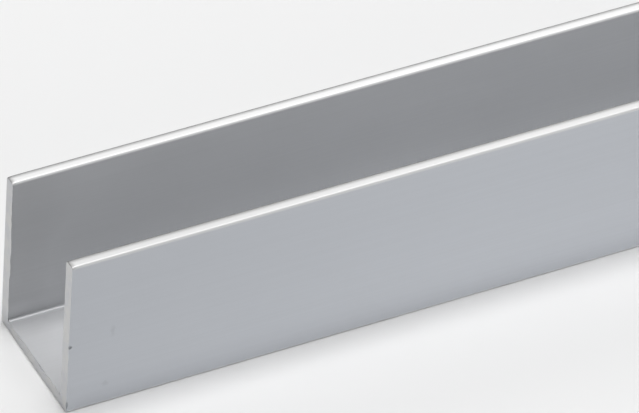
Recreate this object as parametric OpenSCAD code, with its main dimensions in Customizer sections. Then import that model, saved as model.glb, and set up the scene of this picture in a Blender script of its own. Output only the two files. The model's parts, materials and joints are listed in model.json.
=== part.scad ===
// Aluminium U-channel: a plain extruded bar of stock with a flat web and two equal flanges.
// The bar lies on its web with the open side up. X runs along the bar, Y across its width
// and Z up. The origin is in the middle of the underside of the web.

/* [Section] */
// Width across the outside of both flanges
base_w = 20; // [12:0.5:60]
// Height from the underside of the web to the tips of the flanges
leg_h = 25; // [8:0.5:80]
// Thickness of each flange
flange_t = 1.8; // [1:0.1:4]
// Thickness of the web
web_t = 1.4; // [1:0.1:4]

/* [Edges] */
// Radius that the die leaves along every outside edge and flange tip
edge_r = 0.4; // [0.1:0.05:0.45]
// Radius of the fillet inside, where each flange meets the web
fillet_r = 0.4; // [0.2:0.05:1.5]

/* [Stock] */
// Length of the bar as it is sold
bar_l = 1000; // [100:50:3000]

/* [Hidden] */
$fn = 64;

slot_w = base_w - 2 * flange_t; // clear width between the flanges
bite = edge_r;                  // how far a corner cutter reaches past the metal

// A square corner cutter with a round inside: it leaves an edge of radius r
// on the corner at the origin of metal that lies towards +X and +Y.
module corner_cutter(r) {
    difference() {
        translate([-bite, -bite]) square(r + bite);
        translate([r, r]) circle(r);
    }
}

// One half of the section's outline: the web from the middle out, and one flange.
module half_blank() {
    square([base_w / 2, web_t]);
    translate([base_w / 2 - flange_t, 0]) square([flange_t, leg_h]);
}

// The fillet in the inside corner between the web and the flange.
module inner_fillet() {
    translate([slot_w / 2, web_t]) difference() {
        translate([-fillet_r, 0]) square(fillet_r);
        translate([-fillet_r, fillet_r]) circle(fillet_r);
    }
}

// Half of the section, from the centre line to the outside of one flange.
module half_section() {
    difference() {
        union() {
            half_blank();
            inner_fillet();
        }
        // outside corner at the foot of the flange
        translate([base_w / 2, 0]) mirror([1, 0]) corner_cutter(edge_r);
        // outside edge of the flange tip
        translate([base_w / 2, leg_h]) rotate(180) corner_cutter(edge_r);
        // inside edge of the flange tip
        translate([slot_w / 2, leg_h]) mirror([0, 1]) corner_cutter(edge_r);
    }
}

// The whole section, with the web's underside on the X axis.
module section() {
    half_section();
    mirror([1, 0]) half_section();
}

// The bar: the section stood up and run along X, cut square at both ends.
module channel() {
    color("silver")
        translate([-bar_l / 2, 0, 0])
        rotate([90, 0, 90])
        linear_extrude(bar_l)
        section();
}

channel();
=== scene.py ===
# %% [markdown]
# # A metre of aluminium U-channel
# The object is one bar of extruded aluminium: a flat web with a flange along each side.
# Hot metal is pushed through a steel die whose opening has the shape of the section, so the
# bar is that one outline carried along a straight line. A saw then cuts it square to length.
#
# The script follows the same order: the sizes, the finishes, the outline, the run along the
# bar, the sawn ends, the knocks of handling, and last the floor and the light.

import json
import math

import bpy
from mathutils import Matrix, Vector


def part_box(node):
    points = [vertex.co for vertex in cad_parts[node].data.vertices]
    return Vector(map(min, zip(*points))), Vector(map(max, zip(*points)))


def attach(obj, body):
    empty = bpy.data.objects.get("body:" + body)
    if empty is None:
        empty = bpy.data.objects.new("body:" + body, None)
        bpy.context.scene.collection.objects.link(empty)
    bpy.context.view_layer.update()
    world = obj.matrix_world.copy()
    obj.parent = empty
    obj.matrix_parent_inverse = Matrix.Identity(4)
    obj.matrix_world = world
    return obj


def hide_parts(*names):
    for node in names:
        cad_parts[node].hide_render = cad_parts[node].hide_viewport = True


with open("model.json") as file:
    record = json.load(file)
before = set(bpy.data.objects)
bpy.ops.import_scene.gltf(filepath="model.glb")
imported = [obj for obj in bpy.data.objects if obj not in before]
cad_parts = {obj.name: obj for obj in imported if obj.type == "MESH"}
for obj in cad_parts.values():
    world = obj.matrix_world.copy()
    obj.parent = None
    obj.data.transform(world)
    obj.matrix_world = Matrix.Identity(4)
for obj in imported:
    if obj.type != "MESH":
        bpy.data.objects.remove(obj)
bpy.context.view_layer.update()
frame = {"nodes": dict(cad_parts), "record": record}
print("frame loaded, nodes:", sorted(frame["nodes"]))

# %% [markdown]
# ## Sizes
# Blender works in metres, and small metal goods are thought of in millimetres, so `MM` turns
# one into the other. The length, width and height are read from the frame, and the thickness
# of the web from the mount on the floor of the slot. The flanges are a little thicker than the
# web. The two small radii are what an extrusion die leaves.

# %% Read the sizes of the bar
MM = 0.001
low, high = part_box("channel")
mounts = {mount["name"]: mount for mount in frame["record"]["mounts"]}
bar_length = high.x - low.x
base_width = high.y - low.y
leg_height = high.z - low.z
web = mounts["slot_floor"]["pos_m"][2]
flange = 1.8 * MM
edge_radius = 0.4 * MM
fillet_radius = 0.4 * MM
near_corner = Vector((low.x, low.y, low.z))
print(f"bar {bar_length:.3f} m long, {base_width / MM:.1f} mm wide, {leg_height / MM:.1f} mm high")
print(f"flanges {flange / MM:.1f} mm thick, web {web / MM:.1f} mm")

# %% [markdown]
# ## One helper for every node
# Geometry and material trees are both built from code here. This function adds one node,
# sets its properties, and fills its sockets: a socket takes either a plain value or the
# output of another node, which is then linked. Colours are written as sRGB hex values, the
# way a paint chart gives them, and `linear` turns them into the numbers that light adds up in.

# %% A helper that adds a node, and one for colours
def add_node(tree, kind, inputs=None, **settings):
    node = tree.nodes.new(kind)
    for name, value in settings.items():
        setattr(node, name, value)
    for key, value in (inputs or {}).items():
        if isinstance(value, bpy.types.NodeSocket):
            tree.links.new(value, node.inputs[key])
        else:
            node.inputs[key].default_value = value
    return node


def linear(hex_colour):
    """The linear colour, with alpha 1, of an sRGB hex value such as "C8CCD0"."""
    parts = [int(hex_colour[i:i + 2], 16) / 255 for i in (0, 2, 4)]
    return [c / 12.92 if c <= 0.04045 else ((c + 0.055) / 1.055) ** 2.4 for c in parts] + [1.0]


print("mid grey in linear light:", round(linear("808080")[0], 3))

# %% [markdown]
# ## The camera
# It looks down on the near end from the left, through a long lens, so the edges of the bar
# stay almost parallel. Its place is worked out backwards from the view that is wanted: the yaw,
# pitch and small roll of the view, the distance to the near bottom corner, and where that corner
# sits, counted in picture widths from the middle of the picture.

# %% Place the camera
FOCAL_WIDTHS = 12.715
CORNER_RIGHT = -0.3968
CORNER_UP = -0.3237
CORNER_DISTANCE = 52.98 * base_width
view_yaw = math.radians(60.75)
view_pitch = math.radians(40.27)
view_roll = math.radians(4.09)

ahead = Vector((
    math.cos(view_pitch) * math.cos(view_yaw),
    math.cos(view_pitch) * math.sin(view_yaw),
    -math.sin(view_pitch),
))
level_right = ahead.cross(Vector((0, 0, 1))).normalized()
level_up = level_right.cross(ahead)
right = level_right * math.cos(view_roll) + level_up * math.sin(view_roll)
up = level_up * math.cos(view_roll) - level_right * math.sin(view_roll)

camera_data = bpy.data.cameras.new("camera")
camera_data.sensor_width = 36.0
camera_data.lens = FOCAL_WIDTHS * camera_data.sensor_width
camera_data.clip_end = 500.0
camera = bpy.data.objects.new("camera", camera_data)
bpy.context.scene.collection.objects.link(camera)
place = near_corner - CORNER_DISTANCE * (
    ahead + (right * CORNER_RIGHT + up * CORNER_UP) / FOCAL_WIDTHS
)
turn = Matrix((right, up, -ahead)).transposed()
camera.matrix_world = Matrix.Translation(place) @ turn.to_4x4()
bpy.context.scene.camera = camera
print("camera at", [round(v, 3) for v in place], "lens", round(camera_data.lens, 1), "mm")

# %% [markdown]
# ## Where the bar was knocked
# The bar is new stock, but it has been carried about. Two small bites are missing from the
# upright edge at the near end, and two faint smudges lie on the outside of the near flange.
# Each is given in millimetres from the near bottom corner, so that the shape and the finish
# can both use it.

# %% Places and half sizes of the bites and smudges, in mm along, across and up
BITES = (
    ((0.10, 0.00, 11.33), (0.30, 0.17, 0.25)),
    ((0.00, 0.00, 1.35), (0.20, 0.17, 0.50)),
)
SMUDGES = (
    ((6.35, 0.00, 12.10), (0.36, 1.0, 0.90)),
    ((5.45, 0.00, 3.35), (0.45, 1.0, 0.45)),
)
print(len(BITES), "bites and", len(SMUDGES), "smudges")

# %% [markdown]
# ## Finish: clear anodised aluminium
# After extrusion the bar is etched in caustic soda and anodised, which turns the outer
# hundredth of a millimetre into clear oxide. The etch leaves an even matt grain, so the metal
# gives a soft silver sheen with no sharp reflection. Under it the die lines still show: very
# fine scratches, dead straight, that the steel die drew along the whole bar.
#
# An image of scratched metal would be stretched over a metre of bar. Noise is better: scaled
# long along X and narrow across, it makes die lines that never repeat. Broad noise makes the
# slightly cloudy tone of the etch, and fine noise makes its grain.

# %% Sizes and tones of the skin
DIE_LINE_WIDTH = 0.22 * MM
DIE_LINE_LENGTH = 90 * MM
DIE_LINE_DEPTH = 0.0012 * MM
CLOUD_SIZE = 7 * MM
CLOUD_STRETCH = 2.5
# Real etch grain is about 0.02 mm. It is drawn at 0.2 mm, because finer grain wouldn't show.
GRAIN_SIZE = 0.2 * MM
GRAIN_DEPTH = 0.0012 * MM
# Noise runs from 0 to 1, but nearly all of it lies between these two.
NOISE_LOW = 0.3
NOISE_HIGH = 0.7

# Painted light and shade: the slot is a shade lighter than the outside faces.
SKIN_SLOT = linear("E1E2E4")
# Painted shade on the walls of the slot.
SKIN_WALL_SHADE = linear("D1D2D4")
# Painted light: the outside is lighter low down than high up, against the shadow on the floor
# beside the bar, which it mirrors.
SKIN_OUTSIDE_LOW = linear("CED1D6")
SKIN_OUTSIDE_HIGH = linear("C9CCD1")
# Painted highlights: the tips of the flanges are lighter, the back one more.
SKIN_FRONT_TIP = linear("DCDCDC")
SKIN_BACK_TIP = linear("E6E6E6")
# Painted shade along the back edges of the tips and beside the cuts.
SKIN_RIM_SHADE = linear("A8A8A8")
# Painted light along the foot, against the contact shadow that it mirrors.
SKIN_FOOT_LIGHT = linear("F2F3F5")
# The tone of the dark spots: in and round the bites, and the faint dirt of the smudges.
SKIN_DARK_SPOT = linear("6E7074")

skin = bpy.data.materials.new("clear_anodised_aluminium")
skin.use_nodes = True
skin_tree = skin.node_tree
skin_tree.nodes.clear()
skin_place = add_node(skin_tree, "ShaderNodeTexCoord").outputs["Object"]
print("die lines every", round(DIE_LINE_WIDTH / MM, 2), "mm")

# %% Die lines, clouds and grain
line_space = add_node(skin_tree, "ShaderNodeMapping", {
    "Vector": skin_place,
    "Scale": (1 / DIE_LINE_LENGTH, 1 / DIE_LINE_WIDTH, 1 / DIE_LINE_WIDTH),
})
die_lines = add_node(skin_tree, "ShaderNodeTexNoise", {
    "Vector": line_space.outputs[0], "Scale": 1.0, "Detail": 2.0, "Roughness": 0.6,
}).outputs["Fac"]
cloud_space = add_node(skin_tree, "ShaderNodeMapping", {
    "Vector": skin_place,
    "Scale": (1 / (CLOUD_STRETCH * CLOUD_SIZE), 1 / CLOUD_SIZE, 1 / CLOUD_SIZE),
})
clouds = add_node(skin_tree, "ShaderNodeTexNoise", {
    "Vector": cloud_space.outputs[0], "Scale": 1.0, "Detail": 3.0, "Roughness": 0.55,
}).outputs["Fac"]
grain = add_node(skin_tree, "ShaderNodeTexNoise", {
    "Vector": skin_place, "Scale": 1 / GRAIN_SIZE, "Detail": 1.0,
}).outputs["Fac"]
print("noise textures:", sum(node.bl_idname == "ShaderNodeTexNoise" for node in skin_tree.nodes))

# %% [markdown]
# The slot is painted a shade lighter than the outside faces: painted light and shade, set to how
# the light falls on them. The outside faces are painted lighter towards the foot and darker
# towards the top: painted light, against the shadow on the floor beside the bar, which they
# mirror. The foot itself is painted bright: painted light, against the contact shadow that it
# mirrors. The tips of the flanges are painted bright and neutral in the middle, the back one a
# little more: painted highlights. Along their back edges and beside the saw cuts they are painted
# darker: painted shade, on the rounds that turn away from the light. The walls of the slot are
# painted a shade darker near both ends, against the light that comes in at the open ends, and
# half as much deep down: painted shade.
#
# Which of these a point belongs to is read from its place, and turned into soft masks. Painted
# attributes could hold the same, but the place is exact, and the masks follow the sizes.

# %% Masks for the outside faces, the foot, the tips and the slot's walls
skin_parts = add_node(skin_tree, "ShaderNodeSeparateXYZ", {0: skin_place}).outputs
to_side = add_node(
    skin_tree, "ShaderNodeMath", {0: skin_parts["Y"]}, operation="ABSOLUTE",
).outputs[0]
to_cut = add_node(
    skin_tree, "ShaderNodeMath", {0: skin_parts["X"]}, operation="ABSOLUTE",
).outputs[0]
# The front flange is moved onto the back one, so that one mask serves the back edges of both.
wrap_end = high.y + 1 * MM
flange_to_flange = base_width - flange
across_flange = add_node(
    skin_tree, "ShaderNodeMath",
    {0: skin_parts["Y"], 1: wrap_end, 2: wrap_end - flange_to_flange}, operation="WRAP",
).outputs[0]

# Each mask rises smoothly from 0 at the first place to 1 at the second.
MASKS = {
    "on side": (to_side, high.y - 0.55 * MM, high.y - 0.15 * MM),
    "at foot": (skin_parts["Z"], low.z + 0.50 * MM, low.z + 0.20 * MM),
    "up side": (skin_parts["Z"], low.z, high.z),
    "up wall": (skin_parts["Z"], low.z + 2.5 * MM, low.z + 5.0 * MM),
    "in back half": (skin_parts["Y"], -1 * MM, 1 * MM),
    "at top": (skin_parts["Z"], high.z - 0.45 * MM, high.z - 0.15 * MM),
    "at back": (across_flange, high.y - 1.00 * MM, high.y - 0.25 * MM),
    "at cut": (to_cut, high.x - 0.90 * MM, high.x + 0.40 * MM),
    "near cut": (to_cut, high.x - 12 * MM, high.x),
    "deep down": (skin_parts["Z"], high.z - 5 * MM, high.z - 14 * MM),
}
masks = {}
for name, (value, none, full) in MASKS.items():
    masks[name] = add_node(
        skin_tree, "ShaderNodeMapRange", {"Value": value, "From Min": none, "From Max": full},
        interpolation_type="SMOOTHSTEP",
    ).outputs[0]
print("masks:", ", ".join(masks))

# %% Masks joined into the painted shade on the rims of the tips and on the walls
# Painted shade: the walls of the slot are darker near both ends, and half as much deep down.
DEEP_SHADE_SHARE = 0.5
# Painted shade along the rims of the tips.
at_rim = add_node(
    skin_tree, "ShaderNodeMath", {0: masks["at back"], 1: masks["at cut"]}, operation="MAXIMUM",
).outputs[0]
on_rim = add_node(
    skin_tree, "ShaderNodeMath", {0: at_rim, 1: masks["at top"]}, operation="MULTIPLY",
).outputs[0]
deep_shade = add_node(
    skin_tree, "ShaderNodeMath", {0: masks["deep down"], 1: DEEP_SHADE_SHARE}, operation="MULTIPLY",
).outputs[0]
wall_shade_reach = add_node(
    skin_tree, "ShaderNodeMath", {0: masks["near cut"], 1: deep_shade}, operation="MAXIMUM",
).outputs[0]
wall_shade = add_node(
    skin_tree, "ShaderNodeMath", {0: wall_shade_reach, 1: masks["up wall"]}, operation="MULTIPLY",
).outputs[0]
print("walls are dulled deep down", DEEP_SHADE_SHARE, "times as much as by the ends")

# %% [markdown]
# The smudges hold faint greasy dirt, and the skin is painted darker in and round the bites, where
# it is broken. It could be painted by hand, but each spot already has a place and a size. The
# distance to it, counted in its own half sizes, gives the mask: full in the middle and fading
# outwards.

# %% Dark spots in the bites and smudges
DARK_CORE = 0.35


def add_dirt(tree, place, spots, reach, amount, darkening):
    """Adds `amount` of darkening near each spot, full at the core and gone at `reach` half sizes.
    """
    for centre, half_sizes in spots:
        middle = near_corner + Vector(centre) * MM
        shrink = [1 / (size * MM) for size in half_sizes]
        apart = add_node(tree, "ShaderNodeVectorMath", {0: place, 1: middle}, operation="SUBTRACT")
        scaled = add_node(
            tree, "ShaderNodeVectorMath", {0: apart.outputs[0], 1: shrink}, operation="MULTIPLY",
        )
        far = add_node(tree, "ShaderNodeVectorMath", {0: scaled.outputs[0]}, operation="LENGTH")
        spot = add_node(
            tree, "ShaderNodeMapRange",
            {"Value": far.outputs["Value"], "From Min": reach, "From Max": DARK_CORE},
            interpolation_type="SMOOTHSTEP",
        )
        darkening = add_node(
            tree, "ShaderNodeMath", {0: spot.outputs[0], 1: amount, 2: darkening},
            operation="MULTIPLY_ADD",
        ).outputs[0]
    return darkening


# A smudge has no clean outline, so its place is bent by noise before the distance is taken.
BEND_SIZE = 0.7 * MM
BEND_SHIFT = 0.45 * MM
bend = add_node(
    skin_tree, "ShaderNodeTexNoise", {"Vector": skin_place, "Scale": 1 / BEND_SIZE, "Detail": 1.0},
)
bend_shift = add_node(
    skin_tree, "ShaderNodeVectorMath",
    {0: bend.outputs["Color"], 1: [2 * BEND_SHIFT] * 3, 2: [-BEND_SHIFT] * 3},
    operation="MULTIPLY_ADD",
)
bent_place = add_node(
    skin_tree, "ShaderNodeVectorMath", {0: skin_place, 1: bend_shift.outputs[0]}, operation="ADD",
).outputs[0]
# The skin is painted darker in and round the bites, and faintly greyed in the smudges.
bite_darkening = add_dirt(skin_tree, skin_place, BITES, reach=1.6, amount=0.75, darkening=0.0)
skin_darkening = add_dirt(skin_tree, bent_place, SMUDGES, reach=1.4, amount=0.10, darkening=bite_darkening)
print("dirt round", len(BITES) + len(SMUDGES), "spots")

# %% [markdown]
# Now the tones are laid over each other: the skin, inside the slot and outside, then the painted
# light on the foot, and then the painted highlights on the tips and the painted shade on their
# rims. Each layer is a Mix node whose factor is one of the masks.

# %% The tones of the skin, laid over each other
# A Mix node in colour mode has its colours on inputs 6 and 7 and its result on output 2.
# Painted light: the outside faces grow lighter towards the foot.
outside = add_node(
    skin_tree, "ShaderNodeMix", {0: masks["up side"], 6: SKIN_OUTSIDE_LOW, 7: SKIN_OUTSIDE_HIGH},
    data_type="RGBA",
)
# Painted shade on the walls of the slot, near the ends and deep down.
inside = add_node(
    skin_tree, "ShaderNodeMix", {0: wall_shade, 6: SKIN_SLOT, 7: SKIN_WALL_SHADE}, data_type="RGBA",
)
# Painted light and shade: the slot a shade lighter than the outside faces.
sides = add_node(
    skin_tree, "ShaderNodeMix", {0: masks["on side"], 6: inside.outputs[2], 7: outside.outputs[2]},
    data_type="RGBA",
)
# Painted light along the foot, against the contact shadow that it mirrors.
foot_lightened = add_node(
    skin_tree, "ShaderNodeMix", {0: masks["at foot"], 6: sides.outputs[2], 7: SKIN_FOOT_LIGHT},
    data_type="RGBA",
)
# Painted highlights on the tips of the flanges, the back one brighter.
tips = add_node(
    skin_tree, "ShaderNodeMix", {0: masks["in back half"], 6: SKIN_FRONT_TIP, 7: SKIN_BACK_TIP},
    data_type="RGBA",
)
bright_tips = add_node(
    skin_tree, "ShaderNodeMix", {0: masks["at top"], 6: foot_lightened.outputs[2], 7: tips.outputs[2]},
    data_type="RGBA",
)
# Painted shade along the back edges of the tips and beside the cuts.
rim_shaded = add_node(
    skin_tree, "ShaderNodeMix", {0: on_rim, 6: bright_tips.outputs[2], 7: SKIN_RIM_SHADE},
    data_type="RGBA",
)
print("layers of tone:", sum(node.bl_idname == "ShaderNodeMix" for node in skin_tree.nodes))

# %% [markdown]
# No such surface is even. The clouds and the die lines vary its tone by one or two parts in a
# hundred. The last few centimetres at both ends are painted a shade darker: painted shade,
# against the light that comes in round the ends. The dark spots of the bites and smudges come on
# top. The same noises tilt the surface very slightly, so that its sheen breaks up as well as its
# tone.

# %% The shader of the skin
CLOUD_TONE = 0.02
DIE_LINE_TONE = 0.012
# Painted shade: the last few centimetres at both ends are darker.
END_SHADE_TONE = 0.93
END_SHADE_LENGTH = 60 * MM
SKIN_ROUGHNESS = 0.60
CLOUD_ROUGHNESS = 0.03
cloudy = add_node(
    skin_tree, "ShaderNodeMapRange",
    {
        "Value": clouds,
        "From Min": NOISE_LOW,
        "From Max": NOISE_HIGH,
        "To Min": -CLOUD_TONE,
        "To Max": CLOUD_TONE,
    },
)
lined = add_node(
    skin_tree, "ShaderNodeMapRange",
    {
        "Value": die_lines,
        "From Min": NOISE_LOW,
        "From Max": NOISE_HIGH,
        "To Min": 1.0 - DIE_LINE_TONE,
        "To Max": 1.0 + DIE_LINE_TONE,
    },
)
# Painted shade: darker towards both ends.
end_shade = add_node(
    skin_tree, "ShaderNodeMapRange",
    {
        "Value": to_cut,
        "From Min": high.x - END_SHADE_LENGTH,
        "From Max": high.x,
        "To Min": 1.0,
        "To Max": END_SHADE_TONE,
    },
)
unevenness = add_node(
    skin_tree, "ShaderNodeMath", {0: lined.outputs[0], 1: end_shade.outputs[0], 2: cloudy.outputs[0]},
    operation="MULTIPLY_ADD",
)
drawn = add_node(
    skin_tree, "ShaderNodeVectorMath", {0: rim_shaded.outputs[2], "Scale": unevenness.outputs[0]},
    operation="SCALE",
)
skin_colour = add_node(
    skin_tree, "ShaderNodeMix", {0: skin_darkening, 6: drawn.outputs[0], 7: SKIN_DARK_SPOT}, data_type="RGBA",
)
skin_roughness = add_node(
    skin_tree, "ShaderNodeMapRange",
    {
        "Value": clouds,
        "From Min": NOISE_LOW,
        "From Max": NOISE_HIGH,
        "To Min": SKIN_ROUGHNESS - CLOUD_ROUGHNESS,
        "To Max": SKIN_ROUGHNESS + CLOUD_ROUGHNESS,
    },
)
line_bump = add_node(
    skin_tree, "ShaderNodeBump", {"Height": die_lines, "Strength": 1.0, "Distance": DIE_LINE_DEPTH},
)
grain_bump = add_node(
    skin_tree, "ShaderNodeBump",
    {"Height": grain, "Strength": 1.0, "Distance": GRAIN_DEPTH, "Normal": line_bump.outputs[0]},
)
skin_shader = add_node(
    skin_tree, "ShaderNodeBsdfPrincipled",
    {
        "Base Color": skin_colour.outputs[2],
        "Metallic": 1.0,
        "Roughness": skin_roughness.outputs[0],
        "Normal": grain_bump.outputs[0],
    },
)
add_node(skin_tree, "ShaderNodeOutputMaterial", {"Surface": skin_shader.outputs[0]})
print("skin nodes:", len(skin_tree.nodes))

# %% [markdown]
# ## Finish: saw-cut aluminium
# The ends were sawn after anodising, so they are bare metal, a touch brighter and less cool
# than the skin of the outside faces. A circular saw leaves shallow arcs, all about the blade's
# centre, which lay well outside the bar. They make the cut face catch the light a little
# unevenly.
#
# The arcs follow one number, the distance from the blade's centre, so a noise of that one
# number gives arcs of uneven depth and spacing.

# %% Saw-cut aluminium
SAW_RADIUS = 150 * MM
# A fine blade leaves marks about 0.15 mm apart. They are drawn at 0.3 mm to show.
SAW_MARK_SPACING = 0.3 * MM
SAW_MARK_DEPTH = 0.006 * MM
SMEAR_SIZE = 2.5 * MM
blade_centre = Vector((0.0, low.y - 0.62 * SAW_RADIUS, high.z + 0.55 * SAW_RADIUS))

cut_face = bpy.data.materials.new("saw_cut_aluminium")
cut_face.use_nodes = True
cut_tree = cut_face.node_tree
cut_tree.nodes.clear()
cut_place = add_node(cut_tree, "ShaderNodeTexCoord").outputs["Object"]
on_face = add_node(
    cut_tree, "ShaderNodeVectorMath", {0: cut_place, 1: (0.0, 1.0, 1.0)}, operation="MULTIPLY",
)
from_blade = add_node(
    cut_tree, "ShaderNodeVectorMath", {0: on_face.outputs[0], 1: blade_centre},
    operation="DISTANCE",
).outputs["Value"]
arcs = add_node(
    cut_tree, "ShaderNodeTexNoise",
    {"W": from_blade, "Scale": 1 / SAW_MARK_SPACING, "Detail": 2.0, "Roughness": 0.6},
    noise_dimensions="1D",
).outputs["Fac"]
smear = add_node(
    cut_tree, "ShaderNodeTexNoise", {"Vector": cut_place, "Scale": 1 / SMEAR_SIZE, "Detail": 2.0},
).outputs["Fac"]
print("saw blade of radius", round(SAW_RADIUS / MM), "mm")

# %% [markdown]
# On the cut face the arcs only roughen and tilt the surface. Its tone changes with a broader
# noise, where the blade smeared the soft metal. The web's cut, low by the floor, is painted a
# shade darker than those of the flanges: painted shade, from the contact shadow that it mirrors.

# %% The shader of the cut face
CUT_SMEARED = linear("D2D3D6")
CUT_CLEAN = linear("D9D9D8")
# Painted shade: the web's cut is darker low down, by the floor.
WEB_CUT_SHADE = 0.95
CUT_ROUGHNESS = 0.57
ARC_ROUGHNESS = 0.05
SMEAR_SOFTNESS = 0.15
cut_tone = add_node(
    cut_tree, "ShaderNodeMapRange",
    {"Value": smear, "From Min": 0.5 - SMEAR_SOFTNESS, "From Max": 0.5 + SMEAR_SOFTNESS},
)
bare = add_node(
    cut_tree, "ShaderNodeMix", {0: cut_tone.outputs[0], 6: CUT_SMEARED, 7: CUT_CLEAN},
    data_type="RGBA",
)
cut_parts = add_node(cut_tree, "ShaderNodeSeparateXYZ", {0: cut_place}).outputs
# Painted shade: the cut face darkens towards the floor, over the web.
web_cut_shading = add_node(
    cut_tree, "ShaderNodeMapRange",
    {
        "Value": cut_parts["Z"],
        "From Min": low.z + web,
        "From Max": low.z + 2 * web,
        "To Min": WEB_CUT_SHADE,
        "To Max": 1.0,
    },
)
dulled = add_node(
    cut_tree, "ShaderNodeVectorMath", {0: bare.outputs[2], "Scale": web_cut_shading.outputs[0]},
    operation="SCALE",
)
# The cut face is painted darker round the bites as well.
cut_darkening = add_dirt(cut_tree, cut_place, BITES, reach=1.5, amount=0.6, darkening=0.0)
cut_colour = add_node(
    cut_tree, "ShaderNodeMix", {0: cut_darkening, 6: dulled.outputs[0], 7: SKIN_DARK_SPOT}, data_type="RGBA",
)
cut_roughness = add_node(
    cut_tree, "ShaderNodeMapRange",
    {
        "Value": arcs,
        "From Min": NOISE_LOW,
        "From Max": NOISE_HIGH,
        "To Min": CUT_ROUGHNESS - ARC_ROUGHNESS,
        "To Max": CUT_ROUGHNESS + ARC_ROUGHNESS,
    },
)
arc_bump = add_node(
    cut_tree, "ShaderNodeBump", {"Height": arcs, "Strength": 1.0, "Distance": SAW_MARK_DEPTH},
)
cut_shader = add_node(
    cut_tree, "ShaderNodeBsdfPrincipled",
    {
        "Base Color": cut_colour.outputs[2],
        "Metallic": 1.0,
        "Roughness": cut_roughness.outputs[0],
        "Normal": arc_bump.outputs[0],
    },
)
add_node(cut_tree, "ShaderNodeOutputMaterial", {"Surface": cut_shader.outputs[0]})
print("cut face nodes:", len(cut_tree.nodes))

# %% [markdown]
# ## The bar as a swept outline
# The bar could be three long boxes and a lot of bevels. But its shape is a rule: one outline,
# run along a line. Geometry Nodes say exactly that, and every size stays a named input.
#
# The outline starts as eight corners, in order around the U. Fillet Curve rounds each one:
# six convex corners with the edge radius, and the two inside corners with the fillet radius.
# Subdivide Curve then adds points on the flats, so that the sawn ends can be made uneven.

# %% Inputs of the bar's node tree
bar_tree = bpy.data.node_groups.new("channel_bar", "GeometryNodeTree")
bar_tree.is_modifier = True
bar_tree.interface.new_socket(name="Bar", in_out="OUTPUT", socket_type="NodeSocketGeometry")
BAR_INPUTS = {
    "Length": ("NodeSocketFloat", bar_length),
    "Width": ("NodeSocketFloat", base_width),
    "Height": ("NodeSocketFloat", leg_height),
    "Flange": ("NodeSocketFloat", flange),
    "Web": ("NodeSocketFloat", web),
    "Edge Radius": ("NodeSocketFloat", edge_radius),
    "Fillet Radius": ("NodeSocketFloat", fillet_radius),
    "Round Steps": ("NodeSocketInt", 6),
    "Point Spacing": ("NodeSocketFloat", 0.3 * MM),
    "Rings": ("NodeSocketInt", 131),
    "Ring Crowding": ("NodeSocketFloat", 7.4),
    "Burr Height": ("NodeSocketFloat", 0.65 * MM),
    "Burr Width": ("NodeSocketFloat", 0.05 * MM),
    "Burr Grain": ("NodeSocketFloat", 3.0 * MM),
    "Edge Break": ("NodeSocketFloat", 0.03 * MM),
    "Tip Wear Depth": ("NodeSocketFloat", 0.12 * MM),
    "Tip Wear Length": ("NodeSocketFloat", 0.35 * MM),
    "Seed": ("NodeSocketFloat", 81.0),
    "Skin": ("NodeSocketMaterial", skin),
    "Cut Face": ("NodeSocketMaterial", cut_face),
}
for name, (socket_type, value) in BAR_INPUTS.items():
    bar_tree.interface.new_socket(name=name, in_out="INPUT", socket_type=socket_type)
sizes = add_node(bar_tree, "NodeGroupInput").outputs
print("inputs:", ", ".join(BAR_INPUTS))

# %% The outline with its rounded corners
index = add_node(bar_tree, "GeometryNodeInputIndex").outputs["Index"]
half_width = add_node(
    bar_tree, "ShaderNodeMath", {0: sizes["Width"], 1: 0.5}, operation="MULTIPLY",
).outputs[0]
inner_half = add_node(
    bar_tree, "ShaderNodeMath", {0: half_width, 1: sizes["Flange"]}, operation="SUBTRACT",
).outputs[0]
outer_left = add_node(
    bar_tree, "ShaderNodeMath", {0: half_width, 1: -1.0}, operation="MULTIPLY",
).outputs[0]
inner_left = add_node(
    bar_tree, "ShaderNodeMath", {0: inner_half, 1: -1.0}, operation="MULTIPLY",
).outputs[0]

# Each corner is (across, up), in order around the U.
CORNERS = (
    (outer_left, 0.0),
    (half_width, 0.0),
    (half_width, sizes["Height"]),
    (inner_half, sizes["Height"]),
    (inner_half, sizes["Web"]),
    (inner_left, sizes["Web"]),
    (inner_left, sizes["Height"]),
    (outer_left, sizes["Height"]),
)
pick = add_node(bar_tree, "GeometryNodeIndexSwitch", data_type="VECTOR")
while len(pick.index_switch_items) < len(CORNERS):
    pick.index_switch_items.new()
bar_tree.links.new(index, pick.inputs["Index"])
for number, (across, upward) in enumerate(CORNERS):
    corner = add_node(bar_tree, "ShaderNodeCombineXYZ", {"X": across, "Y": upward})
    bar_tree.links.new(corner.outputs[0], pick.inputs[str(number)])
dots = add_node(
    bar_tree, "GeometryNodePoints", {"Count": len(CORNERS), "Position": pick.outputs[0]},
)
loop = add_node(bar_tree, "GeometryNodePointsToCurves", {"Points": dots.outputs[0]})
ring = add_node(
    bar_tree, "GeometryNodeSetSplineCyclic", {"Geometry": loop.outputs[0], "Cyclic": True},
)

# The inside corners are numbers 4 and 5: those less than 0.6 away from 4.5.
is_inside = add_node(
    bar_tree, "ShaderNodeMath", {0: index, 1: 4.5, 2: 0.6}, operation="COMPARE",
).outputs[0]
radius = add_node(
    bar_tree, "ShaderNodeMix",
    {"Factor": is_inside, "A": sizes["Edge Radius"], "B": sizes["Fillet Radius"]},
).outputs[0]
outline = add_node(
    bar_tree, "GeometryNodeFilletCurve",
    {
        "Curve": ring.outputs[0],
        "Count": sizes["Round Steps"],
        "Radius": radius,
        "Limit Radius": True,
    },
    mode="POLY",
)
print("outline of", len(CORNERS), "rounded corners")

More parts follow.
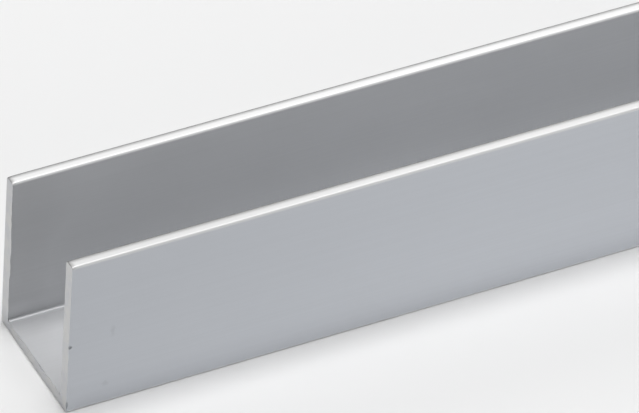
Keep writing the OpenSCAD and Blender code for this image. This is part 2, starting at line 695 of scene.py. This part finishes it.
# %% Points along the flats of the outline
point_count = add_node(
    bar_tree, "GeometryNodeAttributeDomainSize", {"Geometry": outline.outputs[0]},
    component="CURVE",
).outputs["Point Count"]
after = add_node(bar_tree, "ShaderNodeMath", {0: index, 1: 1.0}, operation="ADD").outputs[0]
next_index = add_node(
    bar_tree, "ShaderNodeMath", {0: after, 1: point_count}, operation="MODULO",
).outputs[0]
position = add_node(bar_tree, "GeometryNodeInputPosition").outputs[0]
next_position = add_node(
    bar_tree, "GeometryNodeFieldAtIndex", {"Index": next_index, "Value": position},
    data_type="FLOAT_VECTOR",
).outputs[0]
step_length = add_node(
    bar_tree, "ShaderNodeVectorMath", {0: position, 1: next_position}, operation="DISTANCE",
).outputs["Value"]
cuts = add_node(
    bar_tree, "ShaderNodeMath", {0: step_length, 1: sizes["Point Spacing"]}, operation="DIVIDE",
).outputs[0]
fine_outline = add_node(
    bar_tree, "GeometryNodeSubdivideCurve", {"Curve": outline.outputs[0], "Cuts": cuts},
)

# Each point also keeps which way is outwards, for the burr that the saw leaves.
with_facing = add_node(bar_tree, "GeometryNodeCaptureAttribute", domain="POINT")
with_facing.capture_items.new("VECTOR", "Facing")
bar_tree.links.new(fine_outline.outputs[0], with_facing.inputs["Geometry"])
outline_normal = add_node(bar_tree, "GeometryNodeInputNormal").outputs["Normal"]
bar_tree.links.new(outline_normal, with_facing.inputs["Facing"])
facing = with_facing.outputs["Facing"]
print("points every", round(BAR_INPUTS["Point Spacing"][1] / MM, 2), "mm along the flats")

# %% [markdown]
# The rail is a straight line along X. Its points crowd together at both ends and spread out
# in the middle, because the ends are where the saw left its marks. From an end (0) to the
# middle (1) the steps grow by a constant factor: (e^(k s) - 1) / (e^k - 1).

# %% The rail, with its points crowded at both ends
line = add_node(bar_tree, "GeometryNodeCurvePrimitiveLine", {"End": (1.0, 0.0, 0.0)})
rail = add_node(
    bar_tree, "GeometryNodeResampleCurve", {"Curve": line.outputs[0], "Count": sizes["Rings"]},
    mode="COUNT",
)
along = add_node(bar_tree, "GeometryNodeSplineParameter").outputs["Factor"]
signed = add_node(
    bar_tree, "ShaderNodeMath", {0: along, 1: 2.0, 2: -1.0}, operation="MULTIPLY_ADD",
).outputs[0]
side = add_node(bar_tree, "ShaderNodeMath", {0: signed}, operation="SIGN").outputs[0]
from_middle = add_node(bar_tree, "ShaderNodeMath", {0: signed}, operation="ABSOLUTE").outputs[0]
from_end = add_node(
    bar_tree, "ShaderNodeMath", {0: 1.0, 1: from_middle}, operation="SUBTRACT",
).outputs[0]
grown = add_node(
    bar_tree, "ShaderNodeMath", {0: from_end, 1: sizes["Ring Crowding"]}, operation="MULTIPLY",
).outputs[0]
power = add_node(bar_tree, "ShaderNodeMath", {0: grown}, operation="EXPONENT").outputs[0]
top_power = add_node(
    bar_tree, "ShaderNodeMath", {0: sizes["Ring Crowding"]}, operation="EXPONENT",
).outputs[0]
spread = add_node(
    bar_tree, "ShaderNodeMapRange", {"Value": power, "From Min": 1.0, "From Max": top_power},
).outputs[0]
inward = add_node(bar_tree, "ShaderNodeMath", {0: 1.0, 1: spread}, operation="SUBTRACT").outputs[0]
half_length = add_node(
    bar_tree, "ShaderNodeMath", {0: sizes["Length"], 1: 0.5}, operation="MULTIPLY",
).outputs[0]
reach = add_node(
    bar_tree, "ShaderNodeMath", {0: inward, 1: half_length}, operation="MULTIPLY",
).outputs[0]
rail_x = add_node(bar_tree, "ShaderNodeMath", {0: reach, 1: side}, operation="MULTIPLY").outputs[0]
rail_place = add_node(bar_tree, "ShaderNodeCombineXYZ", {"X": rail_x}).outputs[0]
placed_rail = add_node(
    bar_tree, "GeometryNodeSetPosition", {"Geometry": rail.outputs[0], "Position": rail_place},
)
print("rail of", BAR_INPUTS["Rings"][1], "rings")

# %% [markdown]
# With the outline and the rail ready, Curve to Mesh does what the press does: it pushes the
# one along the other. Fill Caps closes both ends, so that the bar is solid.

# %% Sweep the outline along the rail
# Curve to Mesh lays the outline's X and Y along -Y and -Z of a rail that runs towards +X,
# so the outline is turned half way round first.
turned = add_node(
    bar_tree, "GeometryNodeTransform",
    {"Geometry": with_facing.outputs["Geometry"], "Rotation": (0.0, 0.0, math.pi)},
)
sweep = add_node(
    bar_tree, "GeometryNodeCurveToMesh",
    {"Curve": placed_rail.outputs[0], "Profile Curve": turned.outputs[0], "Fill Caps": True},
)
print("sweep with filled ends")

# %% [markdown]
# ## The sawn ends
# A saw tears a little metal over the edge where its teeth leave the cut. That burr stands up
# from the web's floor, ragged, and a little on the flanges inside the slot. A quick pass
# with a file takes the outside edges off, by a few hundredths of a millimetre.
#
# Both are the same kind of move: points near an end shift along their own outward direction,
# by an amount that dies away with distance from the cut. Noise makes the burr ragged. It grows
# only into the slot, so the bar stays within its true size.

# %% Which points are inside the slot, and which on the tips
# A hair of room makes a point that lies exactly on the slot's floor or wall count as inside.
HAIR = 0.01 * MM
parts = add_node(bar_tree, "ShaderNodeSeparateXYZ", {0: position}).outputs
off_centre = add_node(bar_tree, "ShaderNodeMath", {0: parts["Y"]}, operation="ABSOLUTE").outputs[0]
slot_reach = add_node(
    bar_tree, "ShaderNodeMath", {0: inner_half, 1: HAIR}, operation="ADD",
).outputs[0]
slot_floor = add_node(
    bar_tree, "ShaderNodeMath", {0: sizes["Web"], 1: HAIR}, operation="SUBTRACT",
).outputs[0]
between = add_node(
    bar_tree, "ShaderNodeMath", {0: off_centre, 1: slot_reach}, operation="LESS_THAN",
).outputs[0]
above = add_node(
    bar_tree, "ShaderNodeMath", {0: parts["Z"], 1: slot_floor}, operation="GREATER_THAN",
).outputs[0]
tip_start = add_node(
    bar_tree, "ShaderNodeMath", {0: sizes["Height"], 1: sizes["Edge Radius"]}, operation="SUBTRACT",
).outputs[0]
at_tip = add_node(
    bar_tree, "ShaderNodeMapRange",
    {"Value": parts["Z"], "From Min": tip_start, "From Max": sizes["Height"]},
    interpolation_type="SMOOTHSTEP",
).outputs[0]
under_tip = add_node(
    bar_tree, "ShaderNodeMath", {0: parts["Z"], 1: tip_start}, operation="LESS_THAN",
).outputs[0]
in_walls = add_node(
    bar_tree, "ShaderNodeMath", {0: between, 1: above}, operation="MULTIPLY",
).outputs[0]
in_slot = add_node(
    bar_tree, "ShaderNodeMath", {0: in_walls, 1: under_tip}, operation="MULTIPLY",
).outputs[0]
print("the burr stands inside the slot, up to the rounds of the tips")

# %% How far the saw and the file move each point
TORN_FROM = 0.36
TORN_FULL = 0.72
BACK_SHARE = 0.55
LEAST_SHARE = 0.1
LEAST_FILED = 0.4
facing_parts = add_node(bar_tree, "ShaderNodeSeparateXYZ", {0: facing}).outputs
end_reach = add_node(bar_tree, "ShaderNodeMath", {0: parts["X"]}, operation="ABSOLUTE").outputs[0]
to_end = add_node(
    bar_tree, "ShaderNodeMath", {0: end_reach, 1: half_length}, operation="SUBTRACT",
).outputs[0]
widths = add_node(
    bar_tree, "ShaderNodeMath", {0: to_end, 1: sizes["Burr Width"]}, operation="DIVIDE",
).outputs[0]
fading = add_node(bar_tree, "ShaderNodeMath", {0: widths}, operation="EXPONENT").outputs[0]

noise_scale = add_node(
    bar_tree, "ShaderNodeMath", {0: 1.0, 1: sizes["Burr Grain"]}, operation="DIVIDE",
).outputs[0]
torn = add_node(
    bar_tree, "ShaderNodeTexNoise",
    {"Vector": position, "W": sizes["Seed"], "Scale": noise_scale, "Detail": 3.0, "Roughness": 0.6},
    noise_dimensions="4D",
).outputs["Fac"]
ragged = add_node(
    bar_tree, "ShaderNodeMapRange", {"Value": torn, "From Min": TORN_FROM, "From Max": TORN_FULL},
).outputs[0]
# The web's floor takes the whole burr, the back flange's inside half, and the front's a tenth.
# The outline was drawn lying flat, so the facing's Y is up, and its X is across the bar: minus
# one on the inside of the back flange.
on_back = add_node(
    bar_tree, "ShaderNodeMath", {0: facing_parts["X"], 1: -BACK_SHARE}, operation="MULTIPLY",
).outputs[0]
on_floor_or_back = add_node(
    bar_tree, "ShaderNodeMath", {0: facing_parts["Y"], 1: on_back}, operation="MAXIMUM",
).outputs[0]
share = add_node(
    bar_tree, "ShaderNodeMath", {0: on_floor_or_back, 1: LEAST_SHARE}, operation="MAXIMUM",
).outputs[0]
tall = add_node(
    bar_tree, "ShaderNodeMath", {0: ragged, 1: sizes["Burr Height"]}, operation="MULTIPLY",
).outputs[0]
raised = add_node(bar_tree, "ShaderNodeMath", {0: tall, 1: share}, operation="MULTIPLY").outputs[0]
uneven = add_node(
    bar_tree, "ShaderNodeMath", {0: ragged, 1: 1.0 - LEAST_FILED, 2: LEAST_FILED},
    operation="MULTIPLY_ADD",
).outputs[0]
filed = add_node(
    bar_tree, "ShaderNodeMath", {0: uneven, 1: sizes["Edge Break"]}, operation="MULTIPLY",
).outputs[0]
cut_back = add_node(
    bar_tree, "ShaderNodeMath", {0: filed, 1: -1.0}, operation="MULTIPLY",
).outputs[0]
amount = add_node(
    bar_tree, "ShaderNodeMix", {"Factor": in_slot, "A": cut_back, "B": raised},
).outputs[0]
sawn_shift = add_node(
    bar_tree, "ShaderNodeMath", {0: amount, 1: fading}, operation="MULTIPLY",
).outputs[0]
print("burr up to", round(BAR_INPUTS["Burr Height"][1] / MM, 2), "mm high")

# %% How far wear moves the corners of the tips
# They stick out most, so they are worn round, further than the other edges are filed.
tip_widths = add_node(
    bar_tree, "ShaderNodeMath", {0: to_end, 1: sizes["Tip Wear Length"]}, operation="DIVIDE",
).outputs[0]
tip_fading = add_node(bar_tree, "ShaderNodeMath", {0: tip_widths}, operation="EXPONENT").outputs[0]
tip_depth = add_node(
    bar_tree, "ShaderNodeMath", {0: at_tip, 1: sizes["Tip Wear Depth"]}, operation="MULTIPLY",
).outputs[0]
tip_shift = add_node(
    bar_tree, "ShaderNodeMath", {0: tip_depth, 1: tip_fading}, operation="MULTIPLY",
).outputs[0]
moved = add_node(
    bar_tree, "ShaderNodeMath", {0: sawn_shift, 1: tip_shift}, operation="SUBTRACT",
).outputs[0]
print("tips worn by up to", round(BAR_INPUTS["Tip Wear Depth"][1] / MM, 2), "mm")

# %% Move the points
outwards = add_node(
    bar_tree, "ShaderNodeCombineXYZ", {"Y": facing_parts["X"], "Z": facing_parts["Y"]},
).outputs[0]
shift = add_node(
    bar_tree, "ShaderNodeVectorMath", {0: outwards, "Scale": moved}, operation="SCALE",
).outputs[0]
moved_ends = add_node(
    bar_tree, "GeometryNodeSetPosition", {"Geometry": sweep.outputs[0], "Offset": shift},
)
sawn = add_node(
    bar_tree, "GeometryNodeSetMaterial",
    {"Geometry": moved_ends.outputs[0], "Material": sizes["Skin"]},
)
print("ends sawn and filed")

# %% [markdown]
# ## The bites
# A knock against something hard takes a bite out of an edge. Each bite is a small ball, made
# lumpy with noise, stretched to the size of the bite and cut out of the bar with a Boolean.

# %% Cut the bites out of the near edge
LUMP_HEIGHT = 0.35
LUMP_SCALE = 1.6
ball = add_node(bar_tree, "GeometryNodeMeshIcoSphere", {"Radius": 1.0, "Subdivisions": 3})
lumps = add_node(
    bar_tree, "ShaderNodeTexNoise", {"W": sizes["Seed"], "Scale": LUMP_SCALE, "Detail": 1.0},
    noise_dimensions="4D",
).outputs["Color"]
# A Map Range node in vector mode has the range that it maps to on inputs 9 and 10.
lump_shift = add_node(
    bar_tree, "ShaderNodeMapRange",
    {"Vector": lumps, 9: [-LUMP_HEIGHT] * 3, 10: [LUMP_HEIGHT] * 3},
    data_type="FLOAT_VECTOR",
).outputs["Vector"]
lumpy = add_node(
    bar_tree, "GeometryNodeSetPosition", {"Geometry": ball.outputs[0], "Offset": lump_shift},
)
pebble = add_node(
    bar_tree, "GeometryNodeSetMaterial", {"Geometry": lumpy.outputs[0], "Material": sizes["Skin"]},
)
pebbles = add_node(bar_tree, "GeometryNodeJoinGeometry")
for centre, half_sizes in BITES:
    stretched = add_node(
        bar_tree, "GeometryNodeTransform",
        {
            "Geometry": pebble.outputs[0],
            "Translation": near_corner + Vector(centre) * MM,
            "Scale": Vector(half_sizes) * MM,
        },
    )
    bar_tree.links.new(stretched.outputs[0], pebbles.inputs[0])
bitten = add_node(
    bar_tree, "GeometryNodeMeshBoolean", {"Mesh 1": sawn.outputs[0], "Mesh 2": pebbles.outputs[0]},
    operation="DIFFERENCE", solver="MANIFOLD",
)
print("bites cut:", len(BITES))

# %% [markdown]
# Flat faces stay flat shaded, so the bar's planes are true planes. The rounded edges, the burr
# and the bites are smooth, apart from edges sharper than 40 degrees. The faces that look
# straight along the bar are the sawn ones, and they get the second finish.

# %% Shading and finishes
# A face is square to an axis when that part of its normal, which is 1 long, is about 1.
SQUARE_TO_AXIS = 0.9995
SAWN_SQUARE = 0.98
CREASE_ANGLE = math.radians(40)
face_normal = add_node(bar_tree, "GeometryNodeInputNormal").outputs["Normal"]
normal_size = add_node(bar_tree, "ShaderNodeVectorMath", {0: face_normal}, operation="ABSOLUTE")
normal_parts = add_node(bar_tree, "ShaderNodeSeparateXYZ", {0: normal_size.outputs[0]}).outputs
widest_yz = add_node(
    bar_tree, "ShaderNodeMath", {0: normal_parts["Y"], 1: normal_parts["Z"]}, operation="MAXIMUM",
).outputs[0]
widest = add_node(
    bar_tree, "ShaderNodeMath", {0: widest_yz, 1: normal_parts["X"]}, operation="MAXIMUM",
).outputs[0]
is_rounded = add_node(
    bar_tree, "ShaderNodeMath", {0: widest, 1: SQUARE_TO_AXIS}, operation="LESS_THAN",
).outputs[0]
is_sawn = add_node(
    bar_tree, "ShaderNodeMath", {0: normal_parts["X"], 1: SAWN_SQUARE}, operation="GREATER_THAN",
).outputs[0]
rounded = add_node(
    bar_tree, "GeometryNodeSetShadeSmooth",
    {"Geometry": bitten.outputs[0], "Shade Smooth": is_rounded},
    domain="FACE",
)
edge_angle = add_node(bar_tree, "GeometryNodeInputMeshEdgeAngle").outputs["Unsigned Angle"]
is_soft = add_node(
    bar_tree, "ShaderNodeMath", {0: edge_angle, 1: CREASE_ANGLE}, operation="LESS_THAN",
).outputs[0]
creased = add_node(
    bar_tree, "GeometryNodeSetShadeSmooth",
    {"Geometry": rounded.outputs[0], "Shade Smooth": is_soft},
    domain="EDGE",
)
realised = add_node(bar_tree, "GeometryNodeRealizeInstances", {"Geometry": creased.outputs[0]})
finished = add_node(
    bar_tree, "GeometryNodeSetMaterial",
    {"Geometry": realised.outputs[0], "Selection": is_sawn, "Material": sizes["Cut Face"]},
)
add_node(bar_tree, "NodeGroupOutput", {"Bar": finished.outputs[0]})
print("bar tree nodes:", len(bar_tree.nodes))

# %% [markdown]
# ## From the tree to a plain mesh
# The tree runs as a modifier on an empty mesh. Its inputs are set by their identifiers before
# Blender looks at the object. The result is then copied out as a plain mesh, which needs no
# modifier any more.

# %% Make the bar
holder_mesh = bpy.data.meshes.new("empty")
bar = bpy.data.objects.new("channel_bar", holder_mesh)
bpy.context.scene.collection.objects.link(bar)
grower = bar.modifiers.new("channel_bar", "NODES")
grower.node_group = bar_tree
for item in bar_tree.interface.items_tree:
    if item.in_out == "INPUT":
        grower[item.identifier] = BAR_INPUTS[item.name][1]
evaluated = bar.evaluated_get(bpy.context.evaluated_depsgraph_get())
bar_mesh = bpy.data.meshes.new_from_object(evaluated)
bar.modifiers.clear()
bar.data = bar_mesh
bar_mesh.name = "channel_bar"
bpy.data.meshes.remove(holder_mesh)
bar_mesh.calc_loop_triangles()
print("bar:", len(bar_mesh.vertices), "points,", len(bar_mesh.loop_triangles), "triangles")
print("finishes:", ", ".join(material.name for material in bar_mesh.materials))

# %% [markdown]
# ## A floor to lie on
# The bar lies on a matt white floor, so wide that its far edge never shows. One square is
# enough, in matt paint, because a shiny floor would mirror the bar and hide its foot.

# %% Floor
FLOOR_HALF = 60.0
SQUARE = ((-1, -1), (1, -1), (1, 1), (-1, 1))
floor_corners = [(x * FLOOR_HALF, y * FLOOR_HALF, low.z) for x, y in SQUARE]
floor_mesh = bpy.data.meshes.new("studio_floor")
floor_mesh.from_pydata(floor_corners, [], [(0, 1, 2, 3)])
floor = bpy.data.objects.new("studio_floor", floor_mesh)
bpy.context.scene.collection.objects.link(floor)
floor_paint = bpy.data.materials.new("matt_white_floor")
floor_paint.use_nodes = True
floor_tree = floor_paint.node_tree
floor_tree.nodes.clear()
floor_shader = add_node(floor_tree, "ShaderNodeBsdfDiffuse", {"Color": linear("F0F0F0")})
add_node(floor_tree, "ShaderNodeOutputMaterial", {"Surface": floor_shader.outputs[0]})
floor_mesh.materials.append(floor_paint)
print("floor", 2 * FLOOR_HALF, "m wide")

# %% [markdown]
# ## Soft light
# Bare metal shows whatever stands round it, so the lights make its tones. A broad light
# overhead falls on the web and the tips of the flanges. One behind the bar makes the tips
# shine towards the viewer. A low one in front opens up the outer face and the slot's far wall.
#
# Area lamps would suit a small object, but they fade with distance and would leave the far end
# of a long bar dark. A sun lamp with a wide angle acts as a softbox that is very far away: the
# light is even all along the bar, and the shadows still have soft edges.

# %% Three soft lights
LIGHTS = {
    # name: azimuth from +X towards +Y, height, full width (all in degrees), brightness
    "overhead_softbox": (90, 90, 24, 18.9),
    "back_softbox": (60, 35, 36, 2.5),
    "front_softbox": (290, 20, 40, 1.86),
}
for name, (azimuth, height, width, brightness) in LIGHTS.items():
    lamp = bpy.data.lights.new(name, "SUN")
    lamp.angle = math.radians(width)
    lamp.energy = brightness * math.pi * math.sin(lamp.angle / 2) ** 2
    level = math.cos(math.radians(height))
    towards = Vector((
        level * math.cos(math.radians(azimuth)),
        level * math.sin(math.radians(azimuth)),
        math.sin(math.radians(height)),
    ))
    lamp_object = bpy.data.objects.new(name, lamp)
    lamp_object.rotation_mode = "QUATERNION"
    lamp_object.rotation_quaternion = towards.to_track_quat("Z", "Y")
    bpy.context.scene.collection.objects.link(lamp_object)
    print(name, "energy", round(lamp.energy, 2))

# %% [markdown]
# A little white light comes from all round as well, as from the walls of a room. Colours are
# shown as they are, without a film-like curve, so that white metal stays white.

# %% The air of the room
ROOM_LIGHT = 0.02
world = bpy.data.worlds.new("studio")
world.use_nodes = True
room = world.node_tree.nodes["Background"].inputs
room["Color"].default_value = (1.0, 1.0, 1.0, 1.0)
room["Strength"].default_value = ROOM_LIGHT
bpy.context.scene.world = world
bpy.context.scene.view_settings.view_transform = "Standard"
print("room light", ROOM_LIGHT)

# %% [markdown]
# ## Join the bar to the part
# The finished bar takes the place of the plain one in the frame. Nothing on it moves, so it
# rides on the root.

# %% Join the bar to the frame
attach(bar, "root")
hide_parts("channel")
print("bar joined to the frame")
